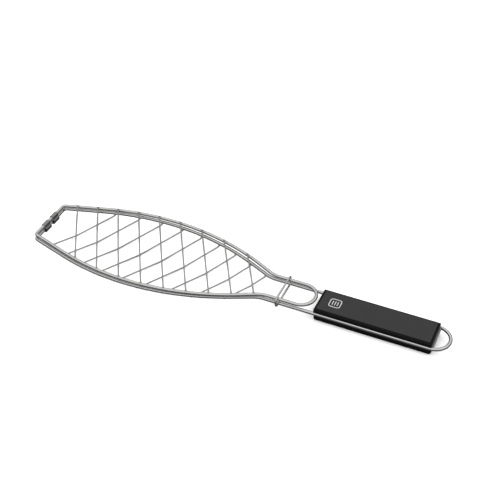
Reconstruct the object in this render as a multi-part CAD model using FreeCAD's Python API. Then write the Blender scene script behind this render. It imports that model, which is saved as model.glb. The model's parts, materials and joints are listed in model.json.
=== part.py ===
import FreeCAD
import Part
import math
import os

os.makedirs("parts", exist_ok=True)

V = FreeCAD.Vector

# A hinged wire basket for grilling one fish. Millimetres, +Z up.
# X runs along the basket from the hinged tip bar (x = 0) to the hanging loop.
# The lower half and the handle scales stand on z = 0.

# Rod and wire stock.
ROD_D = 4.5
WIRE_D = 2.0
RING_D = 2.4
ROD_R = ROD_D / 2
WIRE_R = WIRE_D / 2
RING_R = RING_D / 2

# Heights of the two perimeter rods.
LOWER_Z = 9.9
UPPER_Z = 16.2

# Plan outline of each perimeter rod, centre line: straight flanks leave the tip
# bar, one large arc makes the belly, straight shoulders and a reverse bend lead
# into the parallel neck.
CORNER_R = 5.0
LOWER = {
    "apex_x": 148.6,
    "belly_r": 334.0,
    "belly_half": 65.7,
    "flank_deg": 16.5,
    "shoulder_deg": 24.5,
    "neck_half": 20.0,
    "neck_r": 32.0,
}
UPPER = {
    "apex_x": 153.6,
    "belly_r": 334.0,
    "belly_half": 66.2,
    "flank_deg": 16.8,
    "shoulder_deg": 26.5,
    "neck_half": 19.6,
    "neck_r": 32.0,
}
UPPER_END_X = 389.9
LOOP_END_X = 563.0

# Cross wires: nine on each half, spaced evenly along the centre line.
WIRE_COUNT = 9
UPPER_FIRST_X = 43.1
LOWER_FIRST_X = 41.6
WIRE_PITCH = 32.4
UPPER_SLANT_DEG = 30.0
LOWER_SLANT_DEG = 27.0
WELD_SINK = 0.4
END_SHORT = 0.8
UPPER_RISE = 3.0
LOWER_DROP = 6.05
LEG_RUN = 3.5
LEG_DROP = 1.3
WIRE_BEND_R = 3.0

# Hinge straps, folded from sheet around both tip bars.
STRAP_W = 11.5
STRAP_T = 0.9
STRAP_Y = 9.75
STRAP_CLEAR = 0.1

# Locking ring, a closed wire loop standing across the neck.
RING_X = 347.0
RING_CLEAR = 0.3
RING_FAR = 22.7
RING_NEAR = -25.0
RING_CORNER_R = 3.7

# Handle scales, clamped on the rods of the lower half.
HANDLE_X0 = 394.8
HANDLE_X1 = 545.4
HANDLE_HALF = 21.0
HANDLE_TOP = 17.9
SPLIT_TOP = 11.0
SPLIT_BOTTOM = 8.8
CHAMFER_DROP = 1.6
CHAMFER_RUN = 3.2
TOP_CORNER_R = 1.2
GROOVE_CLEAR = 0.05
TANG_X0 = 399.5
TANG_X1 = 547.3

# Screws and inserts that hold the scales together.
SCREW_X = (415.0, 470.0, 525.0)
SHANK_R = 1.5
HEAD_R = 3.0
HEAD_H = 2.0
HEAD_RECESS = 1.2
INSERT_R = 2.4
INSERT_H = 4.4


# The stored origin is under the middle of the whole object.
ORIGIN_X = (LOOP_END_X - STRAP_CLEAR - STRAP_T) / 2


def save(name, shape):
    shape = shape.removeSplitter()
    shape.translate(V(-ORIGIN_X, 0, 0))
    shape.exportStep("parts/%s.step" % name)


def polar(cx, cy, radius, degrees):
    a = math.radians(degrees)
    return (cx + radius * math.cos(a), cy + radius * math.sin(a))


def plan_arc(centre, radius, start_deg, end_deg, z):
    """Horizontal arc between two angles about centre."""
    mid = (start_deg + end_deg) / 2
    pts = [V(*polar(centre[0], centre[1], radius, d), z) for d in (start_deg, mid, end_deg)]
    return Part.Arc(*pts).toShape()


def outline_points(f):
    """Key points of half an outline: arc ends, corner and neck tangent lengths."""
    flank = math.radians(f["flank_deg"])
    shoulder = math.radians(f["shoulder_deg"])
    r = f["belly_r"]
    start = (f["apex_x"] - r * math.sin(flank), f["belly_half"] - r * (1 - math.cos(flank)))
    end = (f["apex_x"] + r * math.sin(shoulder), f["belly_half"] - r * (1 - math.cos(shoulder)))
    tip_half = start[1] - start[0] * math.tan(flank)
    neck_x = end[0] + (end[1] - f["neck_half"]) / math.tan(shoulder)
    corner_t = CORNER_R * math.tan((math.pi / 2 - flank) / 2)
    neck_t = f["neck_r"] * math.tan(shoulder / 2)
    return start, end, tip_half, neck_x, corner_t, neck_t


def half_width(f, x):
    """Half width of the outline at x, between the tip corner and the neck."""
    start, end, tip_half, neck_x, corner_t, neck_t = outline_points(f)
    if x < start[0]:
        return tip_half + x * math.tan(math.radians(f["flank_deg"]))
    if x < end[0]:
        dx = x - f["apex_x"]
        return f["belly_half"] - f["belly_r"] + math.sqrt(f["belly_r"] ** 2 - dx ** 2)
    bend_x = neck_x - neck_t * math.cos(math.radians(f["shoulder_deg"]))
    if x < bend_x:
        return end[1] - (x - end[0]) * math.tan(math.radians(f["shoulder_deg"]))
    dx = min(x - (neck_x + neck_t), 0.0)
    return f["neck_half"] + f["neck_r"] - math.sqrt(f["neck_r"] ** 2 - dx ** 2)


def half_path(f, z, end_x):
    """Centre line of half a perimeter rod, tip bar to the far bend on the axis."""
    start, end, tip_half, neck_x, corner_t, neck_t = outline_points(f)
    flank = math.radians(f["flank_deg"])
    shoulder = math.radians(f["shoulder_deg"])
    neck = f["neck_half"]
    bar_end = V(0, tip_half - corner_t, z)
    flank_start = V(corner_t * math.cos(flank), tip_half + corner_t * math.sin(flank), z)
    bend_start = V(neck_x - neck_t * math.cos(shoulder), neck + neck_t * math.sin(shoulder), z)
    bend_end = V(neck_x + neck_t, neck, z)
    turn_x = end_x - neck
    apex = (f["apex_x"], f["belly_half"] - f["belly_r"])
    return [
        Part.makeLine(V(0, 0, z), bar_end),
        plan_arc((CORNER_R, bar_end.y), CORNER_R, 180, 90 + f["flank_deg"], z),
        Part.makeLine(flank_start, V(start[0], start[1], z)),
        plan_arc(apex, f["belly_r"], 90 + f["flank_deg"], 90 - f["shoulder_deg"], z),
        Part.makeLine(V(end[0], end[1], z), bend_start),
        plan_arc((bend_end.x, neck + f["neck_r"]), f["neck_r"], 270 - f["shoulder_deg"], 270, z),
        Part.makeLine(bend_end, V(turn_x, neck, z)),
        plan_arc((turn_x, 0), neck, 90, 0, z),
    ]


def sweep(edges, radius, start, direction):
    """Round bar of the given radius along a chain of edges."""
    disc = Part.Wire([Part.makeCircle(radius, start, direction)])
    return Part.Wire(edges).makePipeShell([disc], True, False)


def frame_rod(f, z, end_x):
    half = sweep(half_path(f, z, end_x), ROD_R, V(0, 0, z), V(0, 1, 0))
    other = half.mirror(V(0, 0, 0), V(0, 1, 0))
    return half.fuse(other).removeSplitter()


def bent_path(points, radius):
    """Straight runs through the points, joined by tangent arcs."""
    edges = []
    here = points[0]
    for before, corner, after in zip(points, points[1:], points[2:]):
        into = (corner - before).normalize()
        out = (after - corner).normalize()
        turn = into.getAngle(out)
        t = radius * math.tan(turn / 2)
        a = corner - into * t
        b = corner + out * t
        inward = (out - into).normalize()
        mid = corner + inward * (radius / math.cos(turn / 2) - radius)
        edges.append(Part.makeLine(here, a))
        edges.append(Part.Arc(a, mid, b).toShape())
        here = b
    edges.append(Part.makeLine(here, points[-1]))
    return edges


def wire_end(f, x0, slope, side):
    """Where a slanted wire through (x0, 0) meets the perimeter rod's centre line."""
    y = half_width(f, x0)
    for _ in range(60):
        y = half_width(f, x0 + slope * side * y)
    return x0 + slope * side * y, side * y


def cross_wire(f, x0, slope, end_z, peak_z, leg_z, rod):
    """One cross wire, bent on the centre line, its ends seated on the rod."""
    ends = []
    legs = []
    for side in (1, -1):
        x, y = wire_end(f, x0, slope, side)
        run = math.hypot(x - x0, y)
        for short, z, chain in ((END_SHORT, end_z, ends), (LEG_RUN, leg_z, legs)):
            k = 1 - short / run
            chain.append(V(x0 + (x - x0) * k, y * k, z))
    points = [ends[0], legs[0], V(x0, 0, peak_z), legs[1], ends[1]]
    direction = (points[1] - points[0]).normalize()
    bar = sweep(bent_path(points, WIRE_BEND_R), WIRE_R, points[0], direction)
    return bar.cut(rod)


def ribbon(start, heading_deg, steps, t):
    """Sheet section in X and Z: a band of thickness t along lines and arcs."""
    x, z = start
    heading = heading_deg
    left = []
    right = []

    def side_point(px, pz, h, s):
        nx, nz = polar(0, 0, s * t / 2, h + 90)
        return V(px + nx, 0, pz + nz)

    for length, turn in steps:
        if turn == 0:
            nx, nz = polar(x, z, length, heading)
            for s, chain in ((1, left), (-1, right)):
                chain.append(Part.makeLine(side_point(x, z, heading, s), side_point(nx, nz, heading, s)))
            x, z = nx, nz
            continue
        sign = 1 if turn > 0 else -1
        cx, cz = polar(x, z, length, heading + 90 * sign)
        spots = []
        for part in (0, 0.5, 1):
            h = heading + turn * part
            px, pz = polar(cx, cz, length, h - 90 * sign)
            spots.append((px, pz, h))
        for s, chain in ((1, left), (-1, right)):
            chain.append(Part.Arc(*[side_point(px, pz, h, s) for px, pz, h in spots]).toShape())
        x, z = spots[2][0], spots[2][1]
        heading += turn
    first = Part.makeLine(left[0].firstVertex().Point, right[0].firstVertex().Point)
    last = Part.makeLine(left[-1].lastVertex().Point, right[-1].lastVertex().Point)
    edges = Part.__sortEdges__(left + right + [first, last])
    return Part.Face(Part.Wire(edges))


def hinge_strap():
    """Sleeve over the upper tip bar, a flared lip, and a hook under the lower bar."""
    sleeve_r = ROD_R + STRAP_CLEAR + STRAP_T / 2
    start = polar(0, UPPER_Z, sleeve_r, 205)
    steps = [
        (sleeve_r, -230),
        (1.3, 64.8),
        (1.34, 0),
        (3.6, -180.2),
        (0.8, 0),
    ]
    face = ribbon(start, 115, steps, STRAP_T)
    return face.extrude(V(0, STRAP_W, 0))


def ring_corner(y, z, r, from_deg):
    """Quarter bend of the locking ring about (y, z), turning clockwise seen along +X."""
    spots = [polar(y, z, r, from_deg - turn) for turn in (0, 45, 90)]
    return Part.Arc(*[V(RING_X, py, pz) for py, pz in spots]).toShape()


def locking_ring():
    """Closed wire loop in a plane across the neck: tight bends around the far rods,
    a wide round end with some play around the near rods."""
    top = UPPER_Z + ROD_R + RING_CLEAR + RING_R
    bottom = LOWER_Z - ROD_R - RING_CLEAR - RING_R
    halves = []
    for end, r in ((RING_FAR + RING_R, RING_CORNER_R), (-RING_NEAR + RING_R, (top - bottom) / 2)):
        y = end - r
        edges = [
            Part.makeLine(V(RING_X, 0, top), V(RING_X, y, top)),
            ring_corner(y, top - r, r, 90),
            ring_corner(y, bottom + r, r, 0),
            Part.makeLine(V(RING_X, y, bottom), V(RING_X, 0, bottom)),
        ]
        if top - bottom - 2 * r > 0.01:
            edges.insert(2, Part.makeLine(V(RING_X, end, top - r), V(RING_X, end, bottom + r)))
        halves.append(sweep(edges, RING_R, V(RING_X, 0, top), V(0, 1, 0)))
    near = halves[1].mirror(V(0, 0, 0), V(0, 1, 0))
    return halves[0].fuse(near).removeSplitter()


def block(x0, x1, half, z0, z1):
    return Part.makeBox(x1 - x0, 2 * half, z1 - z0, V(x0, -half, z0))


def cylinder(x, y, z0, z1, r):
    return Part.makeCylinder(r, z1 - z0, V(x, y, z0), V(0, 0, 1))


def edges_where(shape, test):
    return [e for e in shape.Edges if test(e.BoundBox)]


def screw_holes(shape, z0, z1, r):
    for x in SCREW_X:
        shape = shape.cut(cylinder(x, 0, z0, z1, r))
    return shape


def rod_grooves():
    """Space taken by the lower rods inside the handle, with a little clearance."""
    f = LOWER
    neck = f["neck_half"]
    r = ROD_R + GROOVE_CLEAR
    turn_x = LOOP_END_X - neck
    shapes = []
    for y in (neck, -neck):
        length = turn_x - HANDLE_X0 + 10
        shapes.append(Part.makeCylinder(r, length, V(HANDLE_X0 - 10, y, LOWER_Z), V(1, 0, 0)))
    bend = Part.makeTorus(neck, r, V(turn_x, 0, LOWER_Z), V(0, 0, 1))
    bend = bend.common(Part.makeBox(60, 120, 60, V(turn_x, -60, -20)))
    shapes.append(bend)
    return shapes


def rounded_block(inset, z0, z1, r):
    """Handle outline pulled in by inset, with upright corners of radius r."""
    body = block(HANDLE_X0 + inset, HANDLE_X1 - inset, HANDLE_HALF - inset, z0, z1)
    return body.makeFillet(r, edges_where(body, lambda b: b.ZLength > 0.5))


def level_wire(body, z):
    """Outer wire of the flat face of body at height z."""
    level = [f for f in body.Faces if f.BoundBox.ZLength < 0.01 and abs(f.BoundBox.ZMin - z) < 0.01]
    return level[0].OuterWire


def top_scale():
    """Straight wall, a sloping border and a flat top face."""
    border_z = HANDLE_TOP - CHAMFER_DROP
    body = rounded_block(0, SPLIT_TOP, border_z, TOP_CORNER_R)
    inner = rounded_block(CHAMFER_RUN, SPLIT_TOP, HANDLE_TOP, TOP_CORNER_R)
    crown = Part.makeLoft([level_wire(body, border_z), level_wire(inner, HANDLE_TOP)], True, True)
    body = body.fuse(crown).removeSplitter()
    for groove in rod_grooves():
        body = body.cut(groove)
    return screw_holes(body, SPLIT_TOP - 1, SPLIT_TOP + INSERT_H, INSERT_R)


def bottom_scale():
    body = rounded_block(0, 0, SPLIT_BOTTOM, 3.5)
    rim = edges_where(body, lambda b: b.ZMax < 0.01)
    body = body.makeFillet(2.4, rim)
    for groove in rod_grooves():
        body = body.cut(groove)
    body = screw_holes(body, -1, HEAD_RECESS + HEAD_H, HEAD_R + 0.3)
    return screw_holes(body, 0, SPLIT_BOTTOM + 1, SHANK_R + 0.15)


def tang_plate(rod):
    body = block(TANG_X0, TANG_X1, LOWER["neck_half"] - 1.0, SPLIT_BOTTOM, SPLIT_TOP)
    body = body.cut(rod)
    return screw_holes(body, 0, SPLIT_TOP + 1, SHANK_R + 0.15)


def hexagon(x, z0, z1, flat):
    r = flat / math.sqrt(3)
    corners = [V(*polar(x, 0, r, 60 * k), z0) for k in range(7)]
    return Part.Face(Part.makePolygon(corners)).extrude(V(0, 0, z1 - z0))


def screw(x):
    head_top = HEAD_RECESS + HEAD_H
    head = cylinder(x, 0, HEAD_RECESS, head_top, HEAD_R)
    outer = edges_where(head, lambda b: b.ZMax < HEAD_RECESS + 0.01)
    head = head.makeFillet(0.6, outer)
    shank = cylinder(x, 0, head_top, SPLIT_TOP + INSERT_H - 0.4, SHANK_R)
    socket = hexagon(x, HEAD_RECESS - 0.1, HEAD_RECESS + 1.2, 2.5)
    return head.fuse(shank).cut(socket).removeSplitter()


def insert(x):
    outer = cylinder(x, 0, SPLIT_TOP, SPLIT_TOP + INSERT_H - 0.2, INSERT_R)
    return outer.cut(cylinder(x, 0, SPLIT_TOP - 1, SPLIT_TOP + INSERT_H, SHANK_R + 0.02))


lower_rod = frame_rod(LOWER, LOWER_Z, LOOP_END_X)
upper_rod = frame_rod(UPPER, UPPER_Z, UPPER_END_X)
save("lower_frame_rod", lower_rod)
save("upper_frame_rod", upper_rod)

seat = ROD_R + WIRE_R - WELD_SINK
for number in range(WIRE_COUNT):
    x0 = UPPER_FIRST_X + WIRE_PITCH * number
    share = half_width(UPPER, x0) / UPPER["belly_half"]
    slope = -math.tan(math.radians(UPPER_SLANT_DEG))
    end_z = UPPER_Z + seat
    wire = cross_wire(UPPER, x0, slope, end_z, end_z + UPPER_RISE * share, end_z + 0.15, upper_rod)
    save("upper_cross_wire_%d" % (number + 1), wire)
    x0 = LOWER_FIRST_X + WIRE_PITCH * number
    share = half_width(LOWER, x0) / LOWER["belly_half"]
    slope = math.tan(math.radians(LOWER_SLANT_DEG))
    end_z = LOWER_Z - seat
    wire = cross_wire(LOWER, x0, slope, end_z, end_z - LOWER_DROP * share, end_z - LEG_DROP * share, lower_rod)
    save("lower_cross_wire_%d" % (number + 1), wire)

for name, centre in (("left", STRAP_Y), ("right", -STRAP_Y)):
    strap = hinge_strap()
    strap.translate(V(0, centre - STRAP_W / 2, 0))
    save("hinge_strap_%s" % name, strap)

save("locking_ring", locking_ring())
save("handle_top_scale", top_scale())
save("handle_bottom_scale", bottom_scale())
save("handle_tang_plate", tang_plate(lower_rod))
save("handle_screw", Part.makeCompound([screw(x) for x in SCREW_X]))
save("handle_insert", Part.makeCompound([insert(x) for x in SCREW_X]))
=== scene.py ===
"""Looks of the fish-shaped grill basket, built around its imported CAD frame. Metres, row frame, +Z up."""
import json
import math

import bmesh
import bpy
from mathutils import Matrix, Vector


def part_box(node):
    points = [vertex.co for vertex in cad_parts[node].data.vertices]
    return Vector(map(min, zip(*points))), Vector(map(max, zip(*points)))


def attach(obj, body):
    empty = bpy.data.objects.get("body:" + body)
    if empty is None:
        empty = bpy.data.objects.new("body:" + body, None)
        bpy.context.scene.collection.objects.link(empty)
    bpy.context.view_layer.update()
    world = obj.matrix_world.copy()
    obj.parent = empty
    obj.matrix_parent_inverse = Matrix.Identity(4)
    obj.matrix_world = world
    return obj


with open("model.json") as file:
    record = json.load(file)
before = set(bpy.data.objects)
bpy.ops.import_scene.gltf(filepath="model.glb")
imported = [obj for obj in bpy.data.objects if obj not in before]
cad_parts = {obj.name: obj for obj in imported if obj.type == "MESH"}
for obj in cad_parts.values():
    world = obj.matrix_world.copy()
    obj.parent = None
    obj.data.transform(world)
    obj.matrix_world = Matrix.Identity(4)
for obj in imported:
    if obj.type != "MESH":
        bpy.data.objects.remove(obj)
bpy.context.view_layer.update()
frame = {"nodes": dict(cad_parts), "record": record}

# ---------------------------------------------------------------- camera and stage

CAMERA_PLACE = Vector((0.40019, -0.85026, 0.84716))
CAMERA_TARGET = Vector((-0.00702, 0.05960, 0.0099))
CAMERA_ROLL = math.radians(-0.07)
CAMERA_LENS = 70.40
SENSOR = 36.0
FLOOR_SIDE = 12.0
FLOOR_Z = -0.0002
FLOOR_COLOUR = (0.96, 0.96, 0.955, 1.0)
FLOOR_REFLECTED = (0.10, 0.10, 0.102, 1.0)
KEY_PLACE = (-0.2, 0.5, 1.7)
KEY_TARGET = (0.0, 0.0, 0.0)
KEY_WIDTH = 3.0
KEY_DEPTH = 2.4
KEY_WATTS = 6.0

# World brightness. Plain light reaches the camera and matt surfaces. The pairs are
# (position, brightness) stops that reflections see, over height and over depth.
SKY_PLAIN = 1.60
SKY_LOW = (0.05, 0.06)
SKY_HIGH = (0.55, 1.0)
SKY_FRONT = (0.25, 0.82)
SKY_BACK = (0.85, 0.68)


def make_camera():
    data = bpy.data.cameras.new("camera")
    data.lens = CAMERA_LENS
    data.sensor_width = SENSOR
    data.clip_start = 0.05
    data.clip_end = 50.0
    camera = bpy.data.objects.new("camera", data)
    bpy.context.scene.collection.objects.link(camera)
    look = (CAMERA_TARGET - CAMERA_PLACE).to_track_quat("-Z", "Y").to_matrix().to_4x4()
    camera.matrix_world = Matrix.Translation(CAMERA_PLACE) @ look @ Matrix.Rotation(CAMERA_ROLL, 4, "Z")
    bpy.context.scene.camera = camera


def new_material(name):
    """A node material with an empty Principled shader; returns it with its node tree and shader."""
    material = bpy.data.materials.new(name)
    material.use_nodes = True
    tree = material.node_tree
    return material, tree, tree.nodes["Principled BSDF"]


def make_floor():
    """Pale floor, which mirror-like reflections see much darker than the camera does."""
    material, tree, shader = new_material("floor_white")
    shader.inputs["Base Color"].default_value = FLOOR_COLOUR
    shader.inputs["Roughness"].default_value = 0.9
    shader.inputs["Specular IOR Level"].default_value = 0.0
    seen = tree.nodes.new("ShaderNodeEmission")
    seen.inputs["Color"].default_value = FLOOR_REFLECTED
    ray = tree.nodes.new("ShaderNodeLightPath")
    pick = tree.nodes.new("ShaderNodeMixShader")
    tree.links.new(ray.outputs["Is Glossy Ray"], pick.inputs["Fac"])
    tree.links.new(shader.outputs["BSDF"], pick.inputs[1])
    tree.links.new(seen.outputs["Emission"], pick.inputs[2])
    tree.links.new(pick.outputs["Shader"], tree.nodes["Material Output"].inputs["Surface"])
    bpy.ops.mesh.primitive_plane_add(size=FLOOR_SIDE, location=(0.0, 0.0, FLOOR_Z))
    floor = bpy.context.object
    floor.name = "floor"
    floor.data.materials.append(material)


def area_light(name, place, target, width, height, watts):
    data = bpy.data.lights.new(name, "AREA")
    data.shape = "RECTANGLE"
    data.size = width
    data.size_y = height
    data.energy = watts
    light = bpy.data.objects.new(name, data)
    bpy.context.scene.collection.objects.link(light)
    turn = (Vector(target) - Vector(place)).to_track_quat("-Z", "Y").to_matrix().to_4x4()
    light.matrix_world = Matrix.Translation(Vector(place)) @ turn
    return light


def make_lights():
    """Even white studio. Mirror-like reflections see a greyer sky that darkens to the horizon
    and is a little brighter in front of the object than behind it."""
    key = area_light("key", KEY_PLACE, KEY_TARGET, KEY_WIDTH, KEY_DEPTH, KEY_WATTS)
    key.visible_glossy = False
    world = bpy.data.worlds.new("studio")
    bpy.context.scene.world = world
    world.use_nodes = True
    tree = world.node_tree
    back = tree.nodes["Background"]
    place = tree.nodes.new("ShaderNodeTexCoord")
    split = tree.nodes.new("ShaderNodeSeparateXYZ")
    tree.links.new(place.outputs["Generated"], split.inputs[0])
    rise = ramp(tree, split.outputs["Z"], SKY_LOW, SKY_HIGH)
    depth = ramp(tree, split.outputs["Y"], SKY_FRONT, SKY_BACK)
    both = tree.nodes.new("ShaderNodeMix")
    both.data_type = "RGBA"
    both.blend_type = "MULTIPLY"
    both.inputs["Factor"].default_value = 1.0
    tree.links.new(rise, both.inputs["A"])
    tree.links.new(depth, both.inputs["B"])
    plain = tree.nodes.new("ShaderNodeMix")
    plain.data_type = "RGBA"
    plain.inputs["A"].default_value = (SKY_PLAIN, SKY_PLAIN, SKY_PLAIN, 1.0)
    ray = tree.nodes.new("ShaderNodeLightPath")
    tree.links.new(ray.outputs["Is Glossy Ray"], plain.inputs["Factor"])
    tree.links.new(both.outputs["Result"], plain.inputs["B"])
    tree.links.new(plain.outputs["Result"], back.inputs["Color"])
    back.inputs["Strength"].default_value = 1.0


def ramp(tree, value, low, high):
    """Grey ramp over value between two (position, brightness) stops."""
    node = tree.nodes.new("ShaderNodeValToRGB")
    for element, (position, grey) in zip(node.color_ramp.elements, (low, high)):
        element.position = position
        element.color = (grey, grey, grey, 1.0)
    tree.links.new(value, node.inputs["Fac"])
    return node.outputs["Color"]


# ---------------------------------------------------------------- materials

# Depth below the handle's top face where it turns matte and gets its lighter colour, which is painted light.
MATTE_PAINTED_LIGHT_DEPTH = 0.00004


def noise(tree, scale, detail=4.0, stretch=(1.0, 1.0, 1.0)):
    """Noise over the object's own coordinates, with scale in cycles a metre."""
    place = tree.nodes.new("ShaderNodeTexCoord")
    shape = tree.nodes.new("ShaderNodeMapping")
    shape.inputs["Scale"].default_value = stretch
    texture = tree.nodes.new("ShaderNodeTexNoise")
    texture.inputs["Scale"].default_value = scale
    texture.inputs["Detail"].default_value = detail
    tree.links.new(place.outputs["Object"], shape.inputs["Vector"])
    tree.links.new(shape.outputs["Vector"], texture.inputs["Vector"])
    return texture.outputs["Fac"]


def spread(tree, value, low, high):
    """Maps a noise value onto the range low to high."""
    node = tree.nodes.new("ShaderNodeMapRange")
    node.inputs["From Min"].default_value = 0.3
    node.inputs["From Max"].default_value = 0.7
    node.inputs["To Min"].default_value = low
    node.inputs["To Max"].default_value = high
    tree.links.new(value, node.inputs["Value"])
    return node.outputs["Result"]


def blend_colours(tree, factor, first, second):
    node = tree.nodes.new("ShaderNodeMix")
    node.data_type = "RGBA"
    node.inputs["A"].default_value = (*first, 1.0)
    node.inputs["B"].default_value = (*second, 1.0)
    tree.links.new(factor, node.inputs["Factor"])
    return node.outputs["Result"]


def bump(tree, shader, height, distance, strength=1.0):
    node = tree.nodes.new("ShaderNodeBump")
    node.inputs["Distance"].default_value = distance
    node.inputs["Strength"].default_value = strength
    tree.links.new(height, node.inputs["Height"])
    tree.links.new(node.outputs["Normal"], shader.inputs["Normal"])


def steel(name, dark, light, rough_low, rough_high, grain, relief):
    """Bare stainless steel: fine drawn grain along X, patches of slightly different polish."""
    material, tree, shader = new_material(name)
    shader.inputs["Metallic"].default_value = 1.0
    patches = noise(tree, 90.0, 3.0)
    streaks = noise(tree, grain, 5.0, (0.06, 1.0, 1.0))
    tree.links.new(blend_colours(tree, patches, dark, light), shader.inputs["Base Color"])
    tree.links.new(spread(tree, streaks, rough_low, rough_high), shader.inputs["Roughness"])
    if relief:
        bump(tree, shader, streaks, relief)
    return material


def black_plastic(name, relief, matte_painted_light_from=None):
    """Moulded black plastic, glossy and near black. Above the given height it is matte with a pebbled grain,
    and its colour is a lighter dark grey there: painted light, standing in for the light that falls on the
    top face."""
    material, tree, shader = new_material(name)
    grain = noise(tree, 2600.0, 3.0)
    cloud = noise(tree, 70.0, 3.0)
    colour = blend_colours(tree, cloud, (0.0020, 0.0020, 0.0020), (0.0035, 0.0035, 0.0035))
    rough = spread(tree, grain, 0.20, 0.30)
    shader.inputs["Specular IOR Level"].default_value = 0.10
    if matte_painted_light_from is not None:
        place = tree.nodes.new("ShaderNodeTexCoord")
        split = tree.nodes.new("ShaderNodeSeparateXYZ")
        tree.links.new(place.outputs["Object"], split.inputs[0])
        matte_and_painted_light_mask = tree.nodes.new("ShaderNodeMath")
        matte_and_painted_light_mask.operation = "GREATER_THAN"
        matte_and_painted_light_mask.inputs[1].default_value = matte_painted_light_from
        tree.links.new(split.outputs["Z"], matte_and_painted_light_mask.inputs[0])
        # Painted light: the top face is coloured a lighter grey than the glossy black, for the light that
        # falls on it.
        top = blend_colours(tree, cloud, (0.024, 0.024, 0.024), (0.029, 0.029, 0.029))
        colour = switch(tree, matte_and_painted_light_mask.outputs[0], colour, top, "RGBA")
        rough = switch(tree, matte_and_painted_light_mask.outputs[0], rough, spread(tree, grain, 0.50, 0.66), "FLOAT")
    tree.links.new(colour, shader.inputs["Base Color"])
    tree.links.new(rough, shader.inputs["Roughness"])
    bump(tree, shader, grain, relief)
    return material


def switch(tree, factor, first, second, kind):
    """Mixes two linked values or colours by a linked factor."""
    node = tree.nodes.new("ShaderNodeMix")
    node.data_type = kind
    tree.links.new(factor, node.inputs[0])
    first_in, second_in = [s for s in node.inputs if s.enabled and s.name in ("A", "B")]
    tree.links.new(first, first_in)
    tree.links.new(second, second_in)
    return [s for s in node.outputs if s.enabled][0]


def set_material(node, material):
    """Gives a carried-over CAD node its material."""
    data = frame["nodes"][node].data
    data.materials.clear()
    data.materials.append(material)


def dress_cad_nodes():
    rod = steel("rod_steel", (0.66, 0.66, 0.65), (0.76, 0.76, 0.75), 0.15, 0.22, 500.0, 0.0)
    wire = steel("wire_steel", (0.44, 0.44, 0.435), (0.54, 0.54, 0.53), 0.28, 0.40, 700.0, 0.000003)
    sheet = steel("sheet_steel", (0.30, 0.30, 0.295), (0.42, 0.42, 0.41), 0.18, 0.28, 1200.0, 0.000003)
    screw = steel("screw_steel", (0.45, 0.45, 0.45), (0.60, 0.60, 0.60), 0.25, 0.40, 3000.0, 0.000004)
    brass = steel("insert_brass", (0.60, 0.44, 0.20), (0.72, 0.55, 0.28), 0.25, 0.40, 3000.0, 0.000004)
    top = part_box("handle_top_scale")[1][2]
    black = black_plastic("handle_black", 0.00001)
    # Handle top scale: matte on top, with a lighter grey top face colour that is painted light.
    grip = black_plastic("handle_grip_painted_lit_top", 0.00002, top - MATTE_PAINTED_LIGHT_DEPTH)
    finish = {
        "rod_steel": rod, "wire_steel": wire, "strap_steel": sheet,
        "handle_black": black, "screw_steel": screw, "insert_brass": brass,
    }
    for row in frame["record"]["subparts"]:
        set_material(row["node"], finish[row["material_slot"]])
    set_material("handle_top_scale", grip)
    return wire


# ---------------------------------------------------------------- added pieces

CROSS_WIRES = range(1, 10)
TIP_DEPTH = 0.0016
WELD_SIZE = (0.0021, 0.0017, 0.0010)
WELD_LIFT = 0.0006
WELD_RIPPLE = 0.05
MARK_X = 0.0215
MARK_SIDE = 0.0140
MARK_CORNER = 0.0030
MARK_LINE = 0.0009
BAR_PITCH = 0.0032
BAR_LENGTH = 0.0072
MARK_HEIGHT = 0.00006
MARK_SINK = 0.00002


def add_piece(name, mesh, material, body):
    """Turns a bmesh into an object of the given body and finish."""
    data = bpy.data.meshes.new(name)
    mesh.to_mesh(data)
    mesh.free()
    for face in data.polygons:
        face.use_smooth = True
    data.materials.append(material)
    piece = bpy.data.objects.new(name, data)
    bpy.context.scene.collection.objects.link(piece)
    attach(piece, body)
    return piece


def wire_tips(node):
    """Middle point of the wire's round end at its lowest and at its highest Y, with the outward direction."""
    thing = frame["nodes"][node]
    points = [thing.matrix_world @ v.co for v in thing.data.vertices]
    middle = sum(points, Vector()) / len(points)
    tips = []
    for sign in (-1.0, 1.0):
        reach = max(sign * p.y for p in points)
        near = [p for p in points if sign * p.y > reach - TIP_DEPTH]
        tip = sum(near, Vector()) / len(near)
        out = tip - middle
        out.z = 0.0
        tips.append((tip, out.normalized()))
    return tips


def welds(half, lift):
    """Small fused bead where each cross wire of one half sits on the rod."""
    mesh = bmesh.new()
    long, wide, high = WELD_SIZE
    for number in CROSS_WIRES:
        for tip, out in wire_tips("%s_cross_wire_%d" % (half, number)):
            side = Vector((-out.y, out.x, 0.0))
            made = bmesh.ops.create_icosphere(mesh, subdivisions=3, radius=1.0)["verts"]
            for v in made:
                ripple = math.sin(5.0 * v.co.x + number) + math.sin(7.0 * v.co.y + 2.0 * number)
                swell = 1.0 + WELD_RIPPLE * ripple
                p = v.co * swell
                v.co = tip + out * (p.x * long) + side * (p.y * wide) + Vector((0.0, 0.0, p.z * high + lift))
    return mesh


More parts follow.
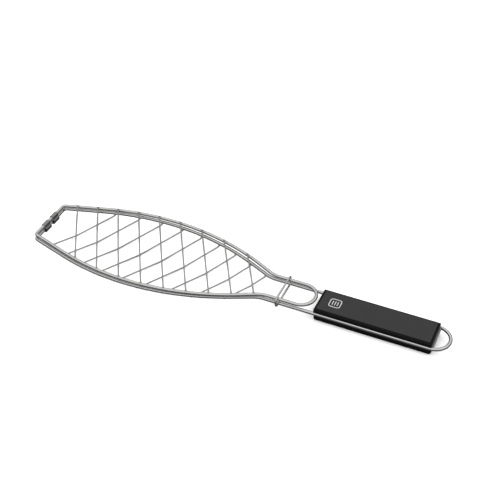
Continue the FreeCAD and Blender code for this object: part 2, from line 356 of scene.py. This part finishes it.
def strip(mesh, points, width, low, high, closed):
    """Flat band of the given width along a chain of plan points, as a thin closed solid."""
    count = len(points)
    rings = []
    for k, p in enumerate(points):
        before = points[(k - 1) % count] if closed or k else p
        after = points[(k + 1) % count] if closed or k < count - 1 else p
        along = (after - before).normalized()
        side = Vector((-along.y, along.x)) * (width / 2)
        corners = ((p - side, low), (p + side, low), (p + side, high), (p - side, high))
        rings.append([mesh.verts.new((q.x, q.y, z)) for q, z in corners])
    spans = list(zip(rings, rings[1:]))
    if closed:
        spans.append((rings[-1], rings[0]))
    else:
        mesh.faces.new(list(reversed(rings[0])))
        mesh.faces.new(rings[-1])
    for first, second in spans:
        for k in range(4):
            mesh.faces.new((first[k], first[(k + 1) % 4], second[(k + 1) % 4], second[k]))


def grip_mark():
    """Plain printed sign on the handle: a square with round corners around three straight bars."""
    low_corner, high_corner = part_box("handle_top_scale")
    base = high_corner[2] - MARK_SINK
    centre = Vector((low_corner[0] + MARK_X, 0.0))
    mesh = bmesh.new()
    inset = MARK_SIDE / 2 - MARK_CORNER
    frame_points = []
    for k, (sx, sy) in enumerate(((1, 1), (-1, 1), (-1, -1), (1, -1))):
        for step in range(9):
            a = math.radians(90.0 * k + 90.0 * step / 8)
            turn = Vector((math.cos(a), math.sin(a))) * MARK_CORNER
            frame_points.append(centre + Vector((sx * inset, sy * inset)) + turn)
    strip(mesh, frame_points, MARK_LINE, base, base + MARK_HEIGHT, True)
    for row in (-1, 0, 1):
        middle = centre + Vector((row * BAR_PITCH, 0.0))
        half = Vector((0.0, BAR_LENGTH / 2))
        strip(mesh, [middle - half, middle + half], MARK_LINE, base, base + MARK_HEIGHT, False)
    bmesh.ops.recalc_face_normals(mesh, faces=mesh.faces)
    return mesh


def print_paint():
    """Pale grey pad-printed ink."""
    material, tree, shader = new_material("mark_ink")
    cloud = noise(tree, 900.0, 3.0)
    colour = blend_colours(tree, cloud, (0.42, 0.42, 0.42), (0.56, 0.56, 0.56))
    tree.links.new(colour, shader.inputs["Base Color"])
    tree.links.new(spread(tree, cloud, 0.5, 0.7), shader.inputs["Roughness"])
    return material


def add_details(wire):
    add_piece("upper_welds", welds("upper", -WELD_LIFT), wire, "upper_basket")
    add_piece("lower_welds", welds("lower", WELD_LIFT), wire, "lower_basket")
    mark = add_piece("grip_mark", grip_mark(), print_paint(), "lower_basket")
    for face in mark.data.polygons:
        face.use_smooth = False


def main():
    bpy.context.scene.view_settings.view_transform = "Standard"
    make_camera()
    make_floor()
    make_lights()
    wire = dress_cad_nodes()
    add_details(wire)


main()
